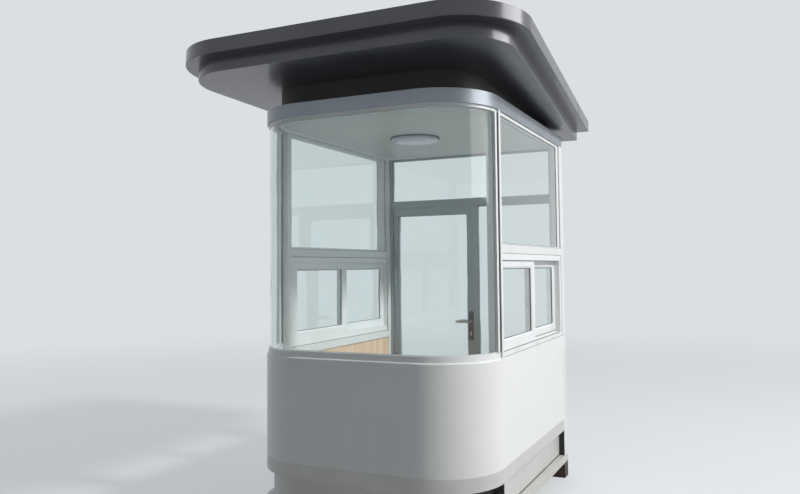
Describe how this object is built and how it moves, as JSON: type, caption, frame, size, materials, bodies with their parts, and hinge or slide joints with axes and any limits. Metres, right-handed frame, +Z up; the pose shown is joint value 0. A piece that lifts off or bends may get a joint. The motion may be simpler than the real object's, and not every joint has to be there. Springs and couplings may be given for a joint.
{
  "type": "security guard booth",
  "caption": "Steel guard booth with a bent glass front, round corners, sliding side windows, a glazed back door and a flared stepped canopy.",
  "frame": {"origin": "on the ground, in the middle of the canopy's plan", "axes": "+Z up, -Y towards the round glass front, +X to the right as seen from the front"},
  "size_m": [2.106, 2.7063, 2.8236],
  "materials": {
    "rusty_steel": "dark paint with rust",
    "base_paint": "satin light grey paint",
    "floor_sheet": "matte grey",
    "wall_paint": "satin white paint",
    "lining_board": "pale wood grain laminate",
    "ring_paint": "satin silver paint",
    "aluminium_white": "powder coated",
    "aluminium_grey": "anodised",
    "clear_glass": "clear",
    "seal_rubber": "matte black",
    "latch_metal": "satin",
    "bronze": "dark bronze, worn",
    "ceiling_board": "matte panel",
    "lamp_cover": "opal",
    "neck_paint": "matte black",
    "canopy_paint": "satin dark grey paint"
  },
  "bodies": {
    "booth": {"feet": "rusty_steel", "bottom_rail": "base_paint", "floor": "floor_sheet", "base_webs": "base_paint", "base_posts": "base_paint", "skirt_band": "base_paint", "front_wall": "wall_paint", "left_wall": "wall_paint", "right_wall": "wall_paint", "front_lining": "lining_board", "side_linings": "lining_board", "rear_lining": "lining_board", "sill_trim": "wall_paint", "front_posts": "wall_paint", "rear_posts": "wall_paint", "side_transoms": "wall_paint", "ring_beam": "ring_paint", "glazing_channels": "aluminium_white", "front_glass": "clear_glass", "glass_seals": "seal_rubber", "upper_window_frames": "aluminium_white", "upper_window_panes": "clear_glass", "sliding_window_frames": "aluminium_white", "outer_sashes": "aluminium_white", "inner_sashes": "aluminium_white", "sash_panes": "clear_glass", "sash_latches": "latch_metal", "door_frame": "aluminium_grey", "rear_header": "aluminium_grey", "rear_transom_frame": "aluminium_grey", "rear_transom_pane": "clear_glass", "side_light_frame": "aluminium_grey", "side_light_pane": "clear_glass", "frame_hinges": "latch_metal", "ceiling": "ceiling_board", "ceiling_lamp": "lamp_cover", "roof_neck": "neck_paint", "lower_canopy": "canopy_paint", "upper_canopy": "canopy_paint", "roof_deck": "canopy_paint"},
    "door": {"door_leaf": "aluminium_grey", "door_pane": "clear_glass", "handle_plates": "bronze", "door_hinges": "latch_metal"},
    "lever": {"door_levers": "bronze"}
  },
  "joints": [
    {"name": "door_hinge", "type": "hinge", "parent": "booth", "child": "door", "pos_m": [-0.6515, 0.9885, 1.1], "axis": [0, 0, 1], "range_deg": [0, 100]},
    {"name": "lever_turn", "type": "hinge", "parent": "door", "child": "lever", "pos_m": [0.031, 0.962, 1.11], "axis": [0, 1, 0], "range_deg": [-45, 0], "stiffness_Nm_per_rad": 1.5, "springref_deg": 20.05}
  ]
}
